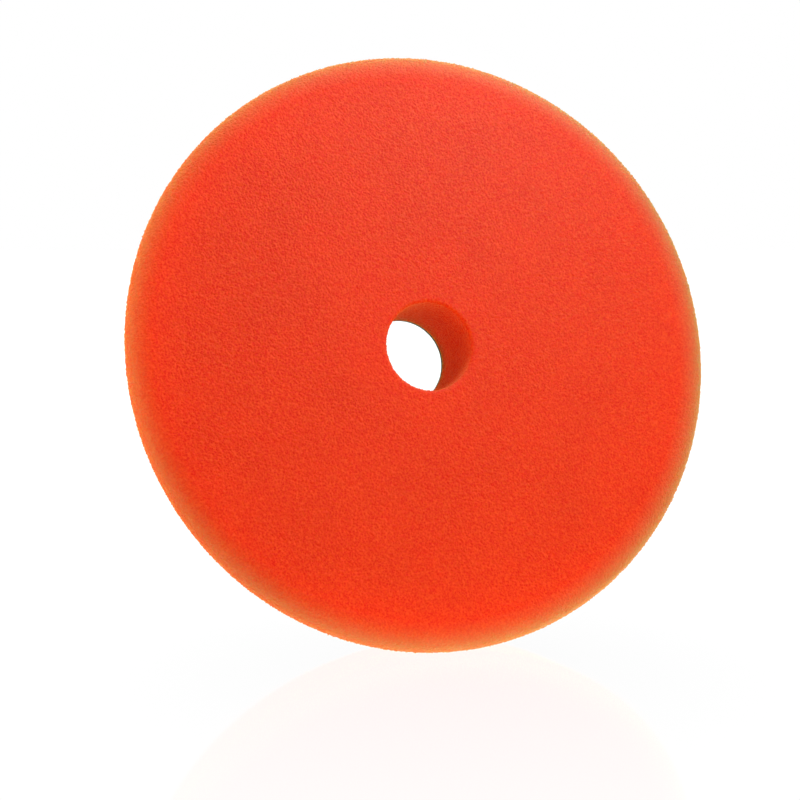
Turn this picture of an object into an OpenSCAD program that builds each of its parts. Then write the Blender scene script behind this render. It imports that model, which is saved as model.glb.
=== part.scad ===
// Foam polishing pad for a car polisher.
// A tapered foam disc with a rounded working edge, laminated by a hot-melt film to a disc of
// loop cloth, with one centring hole punched through the whole stack.
// The pad is drawn upright, as it hangs on a machine's backing plate: its axis lies along Y,
// the origin is the centre of the loop face, +Y points to the machine and -Y is the working side.

/* [Pad] */
// Diameter of the pad at its widest ring
pad_d = 150; // [75:1:200]
// Thickness of the whole pad, from the loop face to the working face
pad_t = 25; // [18:0.5:50]
// Radius that rounds the working edge
edge_r = 6; // [2:0.5:10]
// How far the side wall draws in, on the radius, from the widest diameter to the back
side_taper = 5; // [1:0.5:10]

/* [Centring hole] */
// Diameter of the hole through the pad
bore_d = 22; // [8:0.5:40]
// Radius that softens the mouth of the hole in the working face
lip_r = 1; // [0.2:0.1:3]

/* [Backing] */
// Thickness of the loop cloth, knitted base and pile together
cloth_t = 1.5; // [1:0.1:4]
// Thickness of the hot-melt film between the cloth and the foam
film_t = 0.3; // [0.1:0.05:1]
// How far the cloth and its film stop short of the foam's back edge
cloth_inset = 1.2; // [0:0.1:4]

/* [Hidden] */
$fn = 96;

bore_r = bore_d / 2;
back_r = pad_d / 2 - side_taper;
cloth_r = back_r - cloth_inset;

// Heights above the loop face, along the pad's axis
film_z = cloth_t;
foam_z = film_z + film_t;
face_z = pad_t;

// Centre of the circle that rounds the working edge, and the foam's back corner
edge_centre = [pad_d / 2 - edge_r, face_z - edge_r];
back_corner = [back_r, foam_z];

// How far the side wall's end is sunk into the edge's arc, so that the two meet without a sliver
arc_overlap = 0.001;

// The point where a line from p touches the circle of radius r about c, on the side away from the axis
function outer_tangent(p, c, r) =
    let (d = p - c, angle = atan2(d.y, d.x) + acos(r / norm(d)))
    c + r * [cos(angle), sin(angle)];

// Half of the foam's cross-section, with its axis along y
module foam_section() {
    polygon([
        [bore_r, foam_z],
        back_corner,
        outer_tangent(back_corner, edge_centre, edge_r - arc_overlap),
        edge_centre,
        [edge_centre.x, face_z],
        [bore_r + lip_r, face_z],
        [bore_r, face_z - lip_r],
    ]);
    translate(edge_centre) circle(r = edge_r);
    translate([bore_r + lip_r, face_z - lip_r]) circle(r = lip_r);
}

// A flat ring around the centring hole
module ring(r, z, t) {
    translate([0, 0, z])
        difference() {
            cylinder(r = r, h = t);
            translate([0, 0, -t]) cylinder(r = bore_r, h = 3 * t);
        }
}

// Turns a piece drawn along +Z so that its working side faces -Y
module upright() {
    rotate([90, 0, 0]) children();
}

module foam_body() {
    color("orangered") upright() rotate_extrude() foam_section();
}

module adhesive_film() {
    color("antiquewhite") upright() ring(cloth_r, film_z, film_t);
}

module loop_cloth() {
    color("dimgray") upright() ring(cloth_r, 0, cloth_t);
}

foam_body();
adhesive_film();
loop_cloth();
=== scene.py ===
import math

import bpy
import numpy as np
from mathutils import Matrix, Vector


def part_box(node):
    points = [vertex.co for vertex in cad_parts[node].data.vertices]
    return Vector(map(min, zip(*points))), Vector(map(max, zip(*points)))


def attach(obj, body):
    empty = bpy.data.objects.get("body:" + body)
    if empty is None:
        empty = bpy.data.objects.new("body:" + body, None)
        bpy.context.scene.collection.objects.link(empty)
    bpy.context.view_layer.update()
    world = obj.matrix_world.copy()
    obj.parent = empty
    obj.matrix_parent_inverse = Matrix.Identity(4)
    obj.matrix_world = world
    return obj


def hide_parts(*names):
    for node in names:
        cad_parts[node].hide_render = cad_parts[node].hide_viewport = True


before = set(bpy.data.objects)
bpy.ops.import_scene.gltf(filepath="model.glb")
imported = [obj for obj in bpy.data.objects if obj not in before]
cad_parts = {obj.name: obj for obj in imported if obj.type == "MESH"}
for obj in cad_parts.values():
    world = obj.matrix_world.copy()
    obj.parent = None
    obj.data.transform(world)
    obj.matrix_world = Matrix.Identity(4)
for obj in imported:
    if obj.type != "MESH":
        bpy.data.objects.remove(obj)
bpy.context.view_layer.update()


# ---------------------------------------------------------------- foam body
# The pad itself: fine open-cell polyurethane foam, cut from a block, bored through the middle
# and ground to a taper with a rounded working edge. Cutting leaves every cell open, so its
# whole surface is small pits with the ends of the cell walls standing up between them.

foam_lo, foam_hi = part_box("foam_body")
cloth_lo, cloth_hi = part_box("loop_cloth")
face_y = foam_lo.y  # plane of the working face
foam_back_y = foam_hi.y  # where the film begins
pad_r = (foam_hi.z - foam_lo.z) / 2
edge_r = 0.006  # rounds the working edge
back_r = pad_r - 0.005  # where the taper ends, at the back
glued_r = cloth_hi.x - 0.003  # the back is hidden under the film from here inwards
bore_r = 0.011
lip_r = 0.001  # softens the mouth of the hole
mesh_step = 0.00027  # between neighbouring points of the foam's surface
cell = 0.00046  # one cell of the foam, across
cell_depth = 0.00024  # how deep an opened cell is
torn_height = 0.00003  # how far the torn ends of the cell walls differ in height


def straight(start, end, step):
    """Points from start up to, but not at, end, spaced evenly by about step."""
    start, end = np.array(start), np.array(end)
    count = max(1, round(float(np.linalg.norm(end - start)) / step))
    return start + np.arange(count)[:, None] / count * (end - start)


def bend(centre, radius, first, last, step):
    """Points round a circle from angle first up to, but not at, last, spaced by about step."""
    count = max(1, round(abs(last - first) * radius / step))
    angle = first + np.arange(count) / count * (last - first)
    return np.array(centre) + radius * np.stack([np.cos(angle), np.sin(angle)], 1)


def foam_section(step):
    """The foam's half section as (radius, y), once round: from the back, through the bore, over
    its lip, out along the working face, round the edge, and up the taper, which leaves the
    edge's circle at its tangent, then in across the back."""
    edge = np.array([pad_r - edge_r, face_y + edge_r])
    away = np.array([back_r, foam_back_y]) - edge
    tangent = math.atan2(away[1], away[0]) - math.acos(edge_r / math.hypot(*away))
    leaves = edge + edge_r * np.array([math.cos(tangent), math.sin(tangent)])
    lip = [bore_r + lip_r, face_y + lip_r]
    return np.concatenate([
        straight([bore_r, foam_back_y], [bore_r, lip[1]], step),
        bend(lip, lip_r, -math.pi, -math.pi / 2, step),
        straight([lip[0], face_y], [edge[0], face_y], step),
        bend(edge, edge_r, -math.pi / 2, tangent, step),
        straight(leaves, [back_r, foam_back_y], step),
        straight([back_r, foam_back_y], [glued_r, foam_back_y], step),
        straight([glued_r, foam_back_y], [bore_r, foam_back_y], 30 * step),
    ])


def turned(section, step):
    """A closed surface of revolution about Y from a closed half section. Each ring has as many
    points as its own girth over step, and is turned by the golden ratio from the last. Two
    rings are zipped together: each edge of a ring takes the last point of the other ring that
    lies before the edge's end. Returns points and triangles."""
    counts = np.maximum(12, np.round(2 * math.pi * section[:, 0] / step).astype(int))
    starts = np.concatenate([[0], np.cumsum(counts)])
    ring = np.repeat(np.arange(len(section)), counts)
    lead = (np.arange(len(section)) * 0.618034) % 1
    place = np.arange(starts[-1]) - starts[ring]
    turn = 2 * math.pi * (place + lead[ring]) / counts[ring]
    radius, y = section[ring].T
    points = np.stack([radius * np.cos(turn), y, radius * np.sin(turn)], 1)
    triangles = []
    for a in range(len(section)):
        b = (a + 1) % len(section)
        n, m, i, j = counts[a], counts[b], np.arange(counts[a]), np.arange(counts[b])
        across = np.floor((i + 1 + lead[a]) / n * m - lead[b]).astype(int) % m
        back = (np.ceil((j + 1 + lead[b]) / m * n - lead[a]).astype(int) - 1) % n
        triangles.append(np.stack([i, (i + 1) % n, across], 1) + [starts[a], starts[a], starts[b]])
        triangles.append(np.stack([(j + 1) % m, j, back], 1) + [starts[b], starts[b], starts[a]])
    return points, np.concatenate(triangles)


def scatter(cells, seed):
    """Three numbers from 0 to 1 for each whole-numbered cell, always the same for that cell:
    its three places are multiplied by large primes, mixed by shifts, and cut to 16 bits."""
    mixed = (cells * [73856093, 19349663, 83492791]).sum(-1).astype(np.int64) + seed * 2654435761
    numbers = []
    for prime in (2246822519, 3266489917, 668265263):
        mixed = (mixed ^ (mixed >> 15)) * prime & 0xFFFFFFFF
        mixed = (mixed ^ (mixed >> 13)) & 0xFFFFFFFF
        numbers.append((mixed & 0xFFFF) / 0xFFFF)
    return np.stack(numbers, -1)


def nearest_cell(points, size, seed):
    """How far each point is from the middle of the nearest foam cell, in cells. Each cube of a
    grid of that size holds one middle, somewhere inside it, and the 27 nearest are tried."""
    scaled = points / size
    home = np.floor(scaled).astype(np.int64)
    nearest = np.full(len(points), 9.0)
    for step in np.ndindex(3, 3, 3):
        cube = home + np.array(step) - 1
        nearest = np.minimum(nearest, np.linalg.norm(cube + scatter(cube, seed) - scaled, axis=1))
    return nearest


def make_piece(name, points, triangles, material):
    """A smooth-shaded mesh object at the origin from arrays of points and triangles."""
    mesh = bpy.data.meshes.new(name)
    mesh.vertices.add(len(points))
    mesh.vertices.foreach_set("co", np.ascontiguousarray(points, np.float32).ravel())
    mesh.loops.add(triangles.size)
    mesh.loops.foreach_set("vertex_index", np.ascontiguousarray(triangles, np.int32).ravel())
    mesh.polygons.add(len(triangles))
    mesh.polygons.foreach_set("loop_start", np.arange(0, triangles.size, 3, dtype=np.int32))
    mesh.polygons.foreach_set("use_smooth", np.full(len(triangles), True))
    mesh.update(calc_edges=True)
    mesh.validate()
    mesh.materials.append(material)
    piece = bpy.data.objects.new(name, mesh)
    bpy.context.scene.collection.objects.link(piece)
    return piece


def attribute(piece, name, values):
    """One number for each point of the piece, which its material can read by name."""
    layer = piece.data.attributes.new(name, "FLOAT", "POINT")
    layer.data.foreach_set("value", np.ascontiguousarray(values, np.float32))


def facing(points, triangles):
    """Each point's outward direction: the sum of the area vectors of its triangles, made unit."""
    a, b, c = (points[triangles[:, k]] for k in range(3))
    area = np.cross(b - a, c - a)
    total = np.stack([
        np.bincount(triangles.ravel(), np.repeat(area[:, k], 3), len(points)) for k in range(3)
    ], 1)
    return total / np.linalg.norm(total, axis=1, keepdims=True)


def new_material(name):
    """An empty node material, its Principled shader, and a function that adds a node to it."""
    material = bpy.data.materials.new(name)
    material.use_nodes = True
    tree = material.node_tree
    tree.nodes.clear()
    shader = tree.nodes.new("ShaderNodeBsdfPrincipled")
    output = tree.nodes.new("ShaderNodeOutputMaterial")
    tree.links.new(shader.outputs["BSDF"], output.inputs["Surface"])

    def add(kind, settings={}, **inputs):
        """A node of that kind: settings are its own properties, inputs are values or links."""
        node = tree.nodes.new(kind)
        for key, value in settings.items():
            setattr(node, key, value)
        for key, value in inputs.items():
            socket = node.inputs[int(key[2:])] if key.startswith("in") else node.inputs[key]
            if isinstance(value, bpy.types.NodeSocket):
                tree.links.new(value, socket)
            else:
                socket.default_value = value
        return node

    return material, shader, add, tree.links.new


def foam_material():
    """Orange foam: deeper red and darker in the pits, which is painted shade, and paler where a
    cell wall's end stands up, with a slow drift of tone over the block, and light that soaks in.
    A tan band is painted round the edge, partly the fuzz of torn cell walls where the edge was
    ground and partly painted shade and sheen of the rounded edge, and a soft sheen lies over the
    whole."""
    material, shader, add, link = new_material("orange_foam")
    place = add("ShaderNodeTexCoord").outputs["Object"]
    pit = add("ShaderNodeAttribute", {"attribute_name": "pit"}).outputs["Fac"]
    # ground carries the tan band round the edge: partly fuzz of the ground edge, partly painted shade
    # and sheen of the rounded edge.
    ground = add("ShaderNodeAttribute", {"attribute_name": "ground"}).outputs["Fac"]
    cells = add("ShaderNodeTexVoronoi", {"feature": "F1"}, Vector=place, Scale=1 / 0.00050)
    drift = add("ShaderNodeTexNoise", Vector=place, Scale=70.0, Detail=3.0)
    grain = add("ShaderNodeTexNoise", Vector=place, Scale=1900.0, Detail=2.0)
    sum_up = {"operation": "MULTIPLY_ADD"}
    # The pits are painted darker and deeper red than the cell walls: painted shade in the opened
    # cells.
    depth = add("ShaderNodeMath", sum_up, in0=cells.outputs["Distance"], in1=-0.7, in2=pit)
    tone = add("ShaderNodeMath", sum_up, in0=grain.outputs["Fac"], in1=-0.7, in2=depth.outputs[0])
    spread = add("ShaderNodeMapRange", Value=tone.outputs[0])
    spread.inputs["From Min"].default_value, spread.inputs["From Max"].default_value = -0.80, 0.10
    colour = add("ShaderNodeValToRGB", Fac=spread.outputs[0])
    ramp = colour.color_ramp
    # Element 0 is the cell walls' orange, element 1 the pits' darker red, which is painted shade.
    ramp.elements[0].position, ramp.elements[0].color = 0.0, (0.93, 0.070, 0.0046, 1)
    ramp.elements[1].position, ramp.elements[1].color = 1.0, (0.82, 0.018, 0.0001, 1)
    wash = add("ShaderNodeHueSaturation", Color=colour.outputs["Color"])
    value = add("ShaderNodeMapRange", Value=drift.outputs["Fac"])
    value.inputs["From Min"].default_value, value.inputs["From Max"].default_value = 0.3, 0.7
    value.inputs["To Min"].default_value, value.inputs["To Max"].default_value = 0.97, 1.03
    link(value.outputs[0], wash.inputs["Value"])
    # The tan mixed in over the band is partly the fuzz's own colour and partly painted shade and sheen
    # of the rim, broken up by the grain.
    torn = add("ShaderNodeMath", sum_up, in0=grain.outputs["Fac"], in1=0.9, in2=0.55)
    cover = add("ShaderNodeMath", {"operation": "MULTIPLY"}, in0=ground, in1=torn.outputs[0])
    rim_tan_mix = add("ShaderNodeMix", {"data_type": "RGBA"}, in0=cover.outputs[0], in6=wash.outputs["Color"])
    rim_tan_mix.inputs[7].default_value = (0.41, 0.27, 0.085, 1)
    link(rim_tan_mix.outputs[2], shader.inputs["Base Color"])
    bump = add("ShaderNodeBump", Height=cells.outputs["Distance"], Strength=0.7, Distance=0.00022)
    link(bump.outputs["Normal"], shader.inputs["Normal"])
    rough = add("ShaderNodeMapRange", Value=pit)
    rough.inputs["To Min"].default_value, rough.inputs["To Max"].default_value = 0.80, 0.95
    link(rough.outputs[0], shader.inputs["Roughness"])
    shader.inputs["Specular IOR Level"].default_value = 0.05
    shader.inputs["Subsurface Weight"].default_value = 1.0
    shader.inputs["Subsurface Radius"].default_value = (1.0, 0.12, 0.04)
    shader.inputs["Subsurface Scale"].default_value = 0.012
    shader.inputs["Sheen Weight"].default_value = 0.24
    shader.inputs["Sheen Roughness"].default_value = 0.42
    shader.inputs["Sheen Tint"].default_value = (1.0, 0.70, 0.26, 1)
    return material


points, triangles = turned(foam_section(mesh_step), mesh_step)
outward = facing(points, triangles)
random = np.random.default_rng(11)
reach = np.hypot(points[:, 0], points[:, 2])
near = nearest_cell(points, cell, 3)
pit = np.clip(1 - near / 0.75, 0, 1)  # 1 in the middle of a cell, 0 on its walls
round_edge = np.clip((reach - pad_r + edge_r) / edge_r, 0, 1)
torn_up = random.normal(0, 1, len(points)) * torn_height * (1 + 5 / 3 * round_edge)
raised = cell_depth * (0.45 - pit) * (1 + 0.4 * round_edge) + torn_up
sealed = (points[:, 1] > foam_back_y - 1e-6) & (reach < cloth_hi.x)
raised[sealed] = 0
foam = make_piece("foam_disc", points + outward * raised[:, None], triangles, foam_material())
attribute(foam, "pit", pit)

# The tan band round the edge is partly the fuzz of torn cell walls where the edge was ground
# # after the cut, and partly painted shade and sheen of the rounded edge. It begins just inside
# # the rounding, reaches further in and is stronger on one side, which is painted shade, and
# # fades out a short way up the taper.
shaded_side = points[:, 0] / reach  # 1 on the side with the most painted shade, -1 opposite
uneven = 0.0012  # how far the tan band's inner limit moves between the sides
tan_rim_width = edge_r + uneven
tan_rim = np.clip((reach - pad_r + tan_rim_width + uneven * shaded_side) / tan_rim_width, 0, 1)
up_side = np.clip((points[:, 1] - face_y - 0.5 * edge_r) / 0.0045, 0, 1)
# The attribute named ground holds this band: ground fuzz plus painted rim shade and sheen, stronger on
# the shaded side.
attribute(foam, "ground", (0.66 + 0.08 * shaded_side) * tan_rim ** 1.4 * (1 - 0.9 * up_side))
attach(foam, "root")
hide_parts("foam_body")


# ---------------------------------------------------------------- hot-melt film
# The film that holds the cloth on: hot-melt glue, laid between foam and cloth and pressed hot.
# It squeezes out a little past the cloth's cut edge, in an uneven bead, and sets milky.

film_lo, film_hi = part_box("adhesive_film")
film_r = film_hi.x  # the cloth's edge, where the bead begins
bead = 0.00045  # how far the glue squeezes out
bead_rise = 0.00014  # how far the bead stands above the film
hole_gap = 0.00022  # from the hole's wall to the film's inner edge
tuck = 0.00006  # rounds the film's corners


def wander(turn, seed, waves):
    """A smooth number from about -1 to 1 round a circle: a sum of cosines, each with a whole
    number of waves, its own start, and a size that falls as the waves grow short."""
    start = np.random.default_rng(seed).uniform(0, 2 * math.pi, len(waves))
    size = 1 / np.sqrt(np.arange(1, len(waves) + 1))
    return (np.cos(np.outer(turn, waves) + start) * size).sum(1) / size.sum()


def carried(radius, y, turn):
    """A closed ring: a section carried once round the Y axis. radius and y have a row for each
    point of the section and a column for each place round the circle, at angle turn."""
    rows, columns = radius.shape
    points = np.stack([radius * np.cos(turn), y, radius * np.sin(turn)], 2).reshape(-1, 3)
    row, column = np.divmod(np.arange(rows * columns), columns)
    ahead, beside = (row + 1) % rows * columns, (column + 1) % columns
    here, there = row * columns + column, row * columns + beside
    first = np.stack([here, there, ahead + beside], 1)
    second = np.stack([here, ahead + beside, ahead + column], 1)
    return points, np.concatenate([first, second])


def film_material():
    """Hot-melt glue, set: milky and amber, smooth and a little glossy, faintly cloudy."""
    material, shader, add, link = new_material("set_hot_melt")
    place = add("ShaderNodeTexCoord").outputs["Object"]
    cloud = add("ShaderNodeTexNoise", Vector=place, Scale=350.0, Detail=3.0)
    colour = add("ShaderNodeValToRGB", Fac=cloud.outputs["Fac"])
    ramp = colour.color_ramp
    ramp.elements[0].position, ramp.elements[0].color = 0.30, (0.46, 0.30, 0.15, 1)
    ramp.elements[1].position, ramp.elements[1].color = 0.70, (0.66, 0.52, 0.34, 1)
    link(colour.outputs["Color"], shader.inputs["Base Color"])
    rough = add("ShaderNodeMapRange", Value=cloud.outputs["Fac"])
    rough.inputs["To Min"].default_value, rough.inputs["To Max"].default_value = 0.25, 0.50
    link(rough.outputs[0], shader.inputs["Roughness"])
    bump = add("ShaderNodeBump", Height=cloud.outputs["Fac"], Strength=0.3, Distance=0.0002)
    link(bump.outputs["Normal"], shader.inputs["Normal"])
    shader.inputs["Subsurface Weight"].default_value = 0.5
    shader.inputs["Subsurface Radius"].default_value = (1.0, 0.7, 0.4)
    shader.inputs["Subsurface Scale"].default_value = 0.001
    return material


turn = np.arange(1400) / 1400 * 2 * math.pi
out = film_r + bead * (0.62 + 0.38 * wander(turn, 5, (3, 7, 16, 29, 53, 90, 141)))
inner = bore_r + hole_gap + 0.00016 * wander(turn, 6, (2, 5, 9, 17))
high = film_hi.y + bead_rise * (0.6 + 0.4 * wander(turn, 7, (4, 11, 23, 61, 97)))
low = film_lo.y + 0 * turn
top = film_hi.y + 0 * turn
middle = (low + top) / 2
edge = film_r + 0 * turn
crest = (edge + out) / 2
film_radius = np.stack([inner, inner - tuck, inner, edge, crest, out - tuck, out, out - tuck])
film_height = np.stack([low, middle, top, top, high, (high + middle) / 2, middle, low])
points, triangles = carried(film_radius, film_height, turn)
film = make_piece("hot_melt_film", points, triangles, film_material())
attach(film, "root")
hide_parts("adhesive_film")


# ---------------------------------------------------------------- loop cloth
# The half of a hook-and-loop joint that stays on the pad: a warp-knitted polyester ground cloth,
# die-cut to a ring, with a pile of fine unbroken loops drawn up through it and brushed.

cloth_r = cloth_hi.x
ground_y = cloth_lo.y + 0.00062  # top of the ground cloth
wale = 0.00132  # from one column of stitches to the next
course = 0.00108  # from one row of stitches to the next
loop_count = 5400  # in each of the three pieces of pile
thread_r = 0.00008
knit_step = 0.00042  # between neighbouring points of the ground cloth
rib_height = 0.00007  # how far a rib of the knit stands up, or a furrow goes down
trim_depth = 0.00010  # how unevenly the outer edge was cut


def cloth_section(step):
    """The ground cloth's half section as (radius, y): up its edge in the hole, out across the
    knitted side, down its outer edge, and back in across the glued side."""
    return np.concatenate([
        straight([bore_r, cloth_lo.y], [bore_r, ground_y], step),
        straight([bore_r, ground_y], [cloth_r, ground_y], step),
        straight([cloth_r, ground_y], [cloth_r, cloth_lo.y], step),
        straight([cloth_r, cloth_lo.y], [bore_r, cloth_lo.y], 12 * step),
    ])


def knit(x, z):
    """Height of the knitted side, from -1 to 1: a round rib for each column of stitches, nicked
    once a row, with every other column half a row behind."""
    column = np.floor(x / wale)
    rib = np.abs(np.sin(math.pi * x / wale))
    nick = np.cos(2 * math.pi * (z / course + 0.5 * (column % 2)))
    return 2 * rib * (0.75 + 0.25 * nick) - 1


def pile(count, seed):
    """Loops of thread, each standing on the ground cloth. The roots follow a sunflower's spiral,
    so that they cover the ring evenly, and are shaken a little. A loop goes from one root to the
    other as half an ellipse, leans to one side, and is a three-sided tube with pointed ends.
    Returns points, triangles, and a shade from 0 to 1 that is one number for each loop."""
    random = np.random.default_rng(seed)
    inside, outside = bore_r + 0.0009, cloth_r - 0.0007
    share = (np.arange(count) + random.uniform(0, 1, count)) / count
    far = np.sqrt(inside ** 2 + share * (outside ** 2 - inside ** 2))
    spot = np.arange(count) * 2.399963 + seed + random.normal(0, 0.0007, count) / far
    aim = random.uniform(0, 2 * math.pi, count)
    flat = np.zeros(count)
    centre = np.stack([far * np.cos(spot), flat, far * np.sin(spot)], 1)
    along = np.stack([np.cos(aim), flat, np.sin(aim)], 1)
    side = np.stack([-np.sin(aim), flat, np.cos(aim)], 1)
    width = random.uniform(0.0010, 0.0021, count)
    height = random.uniform(0.00052, 0.00090, count)
    lean = np.clip(random.normal(0, 0.00045, count), -0.0008, 0.0008)
    curl = random.normal(0, 0.00022, count)
    half = math.pi * np.array([0, 0.12, 0.31, 0.5, 0.69, 0.88, 1.0])
    run, lift = -np.cos(half) / 2, np.sin(half)
    path = centre[:, None] + along[:, None] * (width[:, None] * run)[..., None]
    sideways = lean[:, None] * lift + curl[:, None] * np.sin(2 * half)
    path = path + side[:, None] * sideways[..., None]
    path[..., 1] = ground_y - 0.00008 + height[:, None] * lift ** 0.8
    ahead = np.gradient(path, axis=1)
    ahead /= np.linalg.norm(ahead, axis=2, keepdims=True)
    first = np.cross(ahead, side[:, None])
    first /= np.linalg.norm(first, axis=2, keepdims=True)
    second = np.cross(ahead, first)
    corner = np.arange(3) / 3 * 2 * math.pi
    thick = thread_r * random.uniform(0.75, 1.15, count)[:, None, None, None]
    inner_points = slice(1, -1)
    skin = first[:, inner_points, None] * np.cos(corner)[:, None]
    skin = skin + second[:, inner_points, None] * np.sin(corner)[:, None]
    rings = (path[:, inner_points, None] + thick * skin).reshape(count, -1, 3)
    points = np.concatenate([path[:, :1], rings, path[:, -1:]], 1)
    spans = points.shape[1] - 2
    here = np.arange(spans - 3)
    beside = here // 3 * 3 + (here + 1) % 3
    ends = np.arange(3)
    turned_on = (ends + 1) % 3
    last = spans - 3
    faces = np.concatenate([
        np.stack([0 * ends, 1 + turned_on, 1 + ends], 1),
        np.stack([1 + here, 1 + beside, 4 + here], 1),
        np.stack([1 + beside, 4 + beside, 4 + here], 1),
        np.stack([1 + last + ends, 1 + last + turned_on, 0 * ends + spans + 1], 1),
    ])
    triangles = (faces + np.arange(count)[:, None, None] * points.shape[1]).reshape(-1, 3)
    shade = np.repeat(random.uniform(0, 1, count), points.shape[1])
    return points.reshape(-1, 3), triangles, shade


def thread_material():
    """Brushed polyester thread, dyed charcoal: each loop its own shade, with a soft sheen and
    the fine furrows between its filaments."""
    material, shader, add, link = new_material("charcoal_thread")
    place = add("ShaderNodeTexCoord").outputs["Object"]
    shade = add("ShaderNodeAttribute", {"attribute_name": "shade"}).outputs["Fac"]
    strand = add("ShaderNodeTexNoise", Vector=place, Scale=5200.0, Detail=2.0)
    sum_up = {"operation": "MULTIPLY_ADD"}
    mixed = add("ShaderNodeMath", sum_up, in0=strand.outputs["Fac"], in1=0.5, in2=shade)
    colour = add("ShaderNodeValToRGB", Fac=mixed.outputs[0])
    ramp = colour.color_ramp
    ramp.elements[0].position, ramp.elements[0].color = 0.15, (0.026, 0.027, 0.029, 1)
    ramp.elements[1].position, ramp.elements[1].color = 1.0, (0.085, 0.086, 0.090, 1)
    link(colour.outputs["Color"], shader.inputs["Base Color"])
    bump = add("ShaderNodeBump", Height=strand.outputs["Fac"], Strength=0.4, Distance=0.00004)
    link(bump.outputs["Normal"], shader.inputs["Normal"])
    rough = add("ShaderNodeMapRange", Value=strand.outputs["Fac"])
    rough.inputs["To Min"].default_value, rough.inputs["To Max"].default_value = 0.50, 0.75
    link(rough.outputs[0], shader.inputs["Roughness"])
    shader.inputs["Sheen Weight"].default_value = 0.35
    shader.inputs["Sheen Roughness"].default_value = 0.4
    return material


def ground_material():
    """The knitted ground under the pile: darker than the loops, and darkest between the ribs, where
    the furrows get painted shade.
    """
    material, shader, add, link = new_material("charcoal_ground")
    place = add("ShaderNodeTexCoord").outputs["Object"]
    rib = add("ShaderNodeAttribute", {"attribute_name": "rib"}).outputs["Fac"]
    fibre = add("ShaderNodeTexNoise", Vector=place, Scale=3800.0, Detail=3.0)
    sum_up = {"operation": "MULTIPLY_ADD"}
    # rib lightens the ribs and darkens the furrows between them: painted shade.
    mixed = add("ShaderNodeMath", sum_up, in0=fibre.outputs["Fac"], in1=0.6, in2=rib)
    colour = add("ShaderNodeValToRGB", Fac=mixed.outputs[0])
    ramp = colour.color_ramp
    ramp.elements[0].position, ramp.elements[0].color = 0.1, (0.012, 0.012, 0.014, 1)
    ramp.elements[1].position, ramp.elements[1].color = 1.0, (0.055, 0.056, 0.060, 1)
    link(colour.outputs["Color"], shader.inputs["Base Color"])
    bump = add("ShaderNodeBump", Height=fibre.outputs["Fac"], Strength=0.7, Distance=0.00008)
    link(bump.outputs["Normal"], shader.inputs["Normal"])
    rough = add("ShaderNodeMapRange", Value=fibre.outputs["Fac"])
    rough.inputs["To Min"].default_value, rough.inputs["To Max"].default_value = 0.70, 0.95
    link(rough.outputs[0], shader.inputs["Roughness"])
    return material


points, triangles = turned(cloth_section(knit_step), knit_step)
rib = knit(points[:, 0], points[:, 2])
knitted = points[:, 1] > ground_y - 1e-7
points[:, 1] += np.where(knitted, rib_height * rib, 0)
trim = wander(np.arctan2(points[:, 2], points[:, 0]), 9, (5, 13, 31, 67, 120))
reach = np.hypot(points[:, 0], points[:, 2])
points[:, [0, 2]] *= (1 - trim_depth * (1 + trim) * (reach > cloth_r - 1e-6) / reach)[:, None]
cloth = make_piece("ground_cloth", points, triangles, ground_material())
attribute(cloth, "rib", (rib + 1) / 2)
for number in range(3):
    points, triangles, shade = pile(loop_count, 40 + number)
    piece = make_piece("loop_pile_%d" % (number + 1), points, triangles, thread_material())
    attribute(piece, "shade", shade)
    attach(piece, "root")
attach(cloth, "root")
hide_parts("loop_cloth")


# ---------------------------------------------------------------- studio
# A white room with soft boxes round the pad, and a glowing floor that the pad stands on. The
# camera looks from a little to the left of the face's axis and from below it.

turn = math.radians(-17.64)
rise = math.radians(-9.90)
back = Vector((math.sin(turn) * math.cos(rise), -math.cos(turn) * math.cos(rise), math.sin(rise)))
right = Vector((math.cos(turn), math.sin(turn), 0))
up = back.cross(right)
face_centre = Vector((0, face_y, 0))

camera = bpy.data.objects.new("camera", bpy.data.cameras.new("camera"))
camera.data.lens = 109.5
camera.data.sensor_width = 36.0
camera.data.clip_start = 0.01
bpy.context.scene.collection.objects.link(camera)
across, below, away = 0.099 * pad_r, 0.178 * pad_r, 8 * pad_r
eye = face_centre - across * right - below * up + away * back
camera.matrix_world = Matrix.Translation(eye) @ Matrix((right, up, back)).transposed().to_4x4()
bpy.context.scene.camera = camera

world = bpy.data.worlds.new("white_room")
world.use_nodes = True
room = world.node_tree
room.nodes.clear()
ray = room.nodes.new("ShaderNodeTexCoord")
behind = room.nodes.new("ShaderNodeVectorMath")
behind.operation = "DOT_PRODUCT"
behind.inputs[1].default_value = (0, 1, 0)
wall = room.nodes.new("ShaderNodeMapRange")  # brighter ahead of the face than behind it
wall.interpolation_type = "SMOOTHSTEP"
wall.inputs["From Min"].default_value = -0.35
wall.inputs["From Max"].default_value = 0.35
wall.inputs["To Min"].default_value = 0.46
wall.inputs["To Max"].default_value = 0.30
path = room.nodes.new("ShaderNodeLightPath")
seen = room.nodes.new("ShaderNodeMix")  # the camera itself sees plain white
seen.inputs["B"].default_value = 1.0
light = room.nodes.new("ShaderNodeBackground")
light.inputs["Color"].default_value = (1, 1, 1, 1)
sky = room.nodes.new("ShaderNodeOutputWorld")
room.links.new(ray.outputs["Generated"], behind.inputs[0])
room.links.new(behind.outputs["Value"], wall.inputs["Value"])
room.links.new(path.outputs["Is Camera Ray"], seen.inputs["Factor"])
room.links.new(wall.outputs["Result"], seen.inputs["A"])
room.links.new(seen.outputs["Result"], light.inputs["Strength"])
room.links.new(light.outputs["Background"], sky.inputs["Surface"])
bpy.context.scene.world = world
bpy.context.scene.view_settings.view_transform = "Standard"

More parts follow.
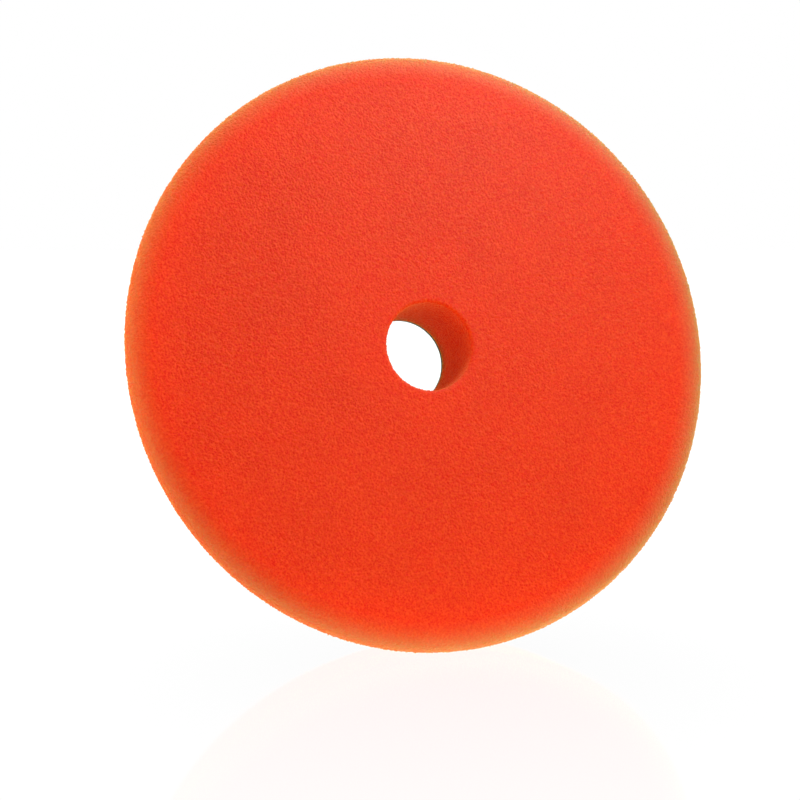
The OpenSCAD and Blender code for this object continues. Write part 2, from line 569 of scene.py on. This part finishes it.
# The floor is tilted towards the camera by floor_tilt, and touches the round edge at foot.
floor_tilt = math.radians(7)
floor_up = (math.cos(floor_tilt) * up + math.sin(floor_tilt) * back).normalized()
down = -floor_up
radial = Vector((down.x, 0, down.z)).normalized()
foot = radial * (pad_r - edge_r) + Vector((0, face_y + edge_r, 0)) + down * edge_r
ahead = floor_up.cross(right).normalized()
half_width = 1.6
signs = ((-1, -1), (1, -1), (1, 1), (-1, 1))
corners = [foot + half_width * (u * right + v * ahead) for u, v in signs]
floor_mesh = bpy.data.meshes.new("floor")
floor_mesh.from_pydata(corners, [], [(0, 1, 2, 3)])
floor = bpy.data.objects.new("floor", floor_mesh)
bpy.context.scene.collection.objects.link(floor)
floor_material, floor_shader, add, link = new_material("lit_floor")
floor_shader.inputs["Base Color"].default_value = (0, 0, 0, 1)
floor_shader.inputs["Roughness"].default_value = 0.06
floor_shader.inputs["IOR"].default_value = 1.35
floor_shader.inputs["Emission Color"].default_value = (1, 1, 1, 1)
spot = add("ShaderNodeTexCoord").outputs["Object"]
apart = add("ShaderNodeVectorMath", {"operation": "DISTANCE"}, in0=spot)
apart.inputs[1].default_value = foot
# table is the light the floor gives; what the camera sees of the floor is a little darker near
# # the foot, a painted soft shadow round it, so that the pad's reflection there shows and then
# # fades into white.
table = add("ShaderNodeMapRange", {"interpolation_type": "SMOOTHSTEP"}, Value=apart.outputs["Value"])
table.inputs["From Min"].default_value, table.inputs["From Max"].default_value = 0.0, 0.11
table.inputs["To Min"].default_value, table.inputs["To Max"].default_value = 1.4, 0.88
painted_foot_shade = add("ShaderNodeMapRange", Value=apart.outputs["Value"])
painted_foot_shade.inputs["From Min"].default_value, painted_foot_shade.inputs["From Max"].default_value = 0.02, 0.22
painted_foot_shade.inputs["To Min"].default_value, painted_foot_shade.inputs["To Max"].default_value = 0.895, 1.0
floor_glow = add("ShaderNodeMix", A=table.outputs["Result"], B=painted_foot_shade.outputs["Result"])
link(add("ShaderNodeLightPath").outputs["Is Camera Ray"], floor_glow.inputs["Factor"])
link(floor_glow.outputs["Result"], floor_shader.inputs["Emission Strength"])
# From below the floor isn't there, so that a low view isn't covered by it.
underside = add("ShaderNodeNewGeometry").outputs["Backfacing"]
clear = add("ShaderNodeBsdfTransparent")
lit = floor_shader.outputs["BSDF"]
one_sided = add("ShaderNodeMixShader", in0=underside, in1=lit, in2=clear.outputs["BSDF"])
link(one_sided.outputs["Shader"], floor_material.node_tree.nodes["Material Output"].inputs["Surface"])
floor_mesh.materials.append(floor_material)


def lamp(name, place, aim, width, watts):
    """A white square soft box of that width at place, turned to face aim. It is hidden from the
    camera and from reflections, so that only its light shows."""
    data = bpy.data.lights.new(name, "AREA")
    data.size, data.energy = width, watts
    box = bpy.data.objects.new(name, data)
    faced = (aim - place).to_track_quat("-Z", "Y")
    box.matrix_world = Matrix.Translation(place) @ faced.to_matrix().to_4x4()
    box.visible_camera = False
    box.visible_glossy = False
    bpy.context.scene.collection.objects.link(box)
    return box


ahead_of_face = Vector((0, -1, 0))
lamp("top_box", face_centre + 0.30 * up + 0.06 * ahead_of_face, face_centre, 0.25, 0.42)
lamp("left_box", face_centre - 0.30 * right + 0.06 * ahead_of_face, face_centre, 0.25, 0.46)
lamp("right_box", face_centre + 0.30 * right + 0.06 * ahead_of_face, face_centre, 0.25, 0.25)
lamp("front_box", face_centre + 0.50 * ahead_of_face + 0.20 * up, face_centre, 0.4, 0.20)
lamp("right_front_box", face_centre + 0.35 * right + 0.30 * ahead_of_face, face_centre, 0.3, 0.27)
lamp("top_back_box", face_centre + 0.35 * up - 0.12 * ahead_of_face, face_centre, 0.3, 0.30)
skimming = face_centre + 0.15 * up + 0.06 * right + 0.05 * ahead_of_face
grazing = lamp("grazing_box", skimming, face_centre, 0.1, 4.2)
grazing.visible_diffuse = False  # adds only the haze that light skimming the foam gives
grazing.visible_glossy = True
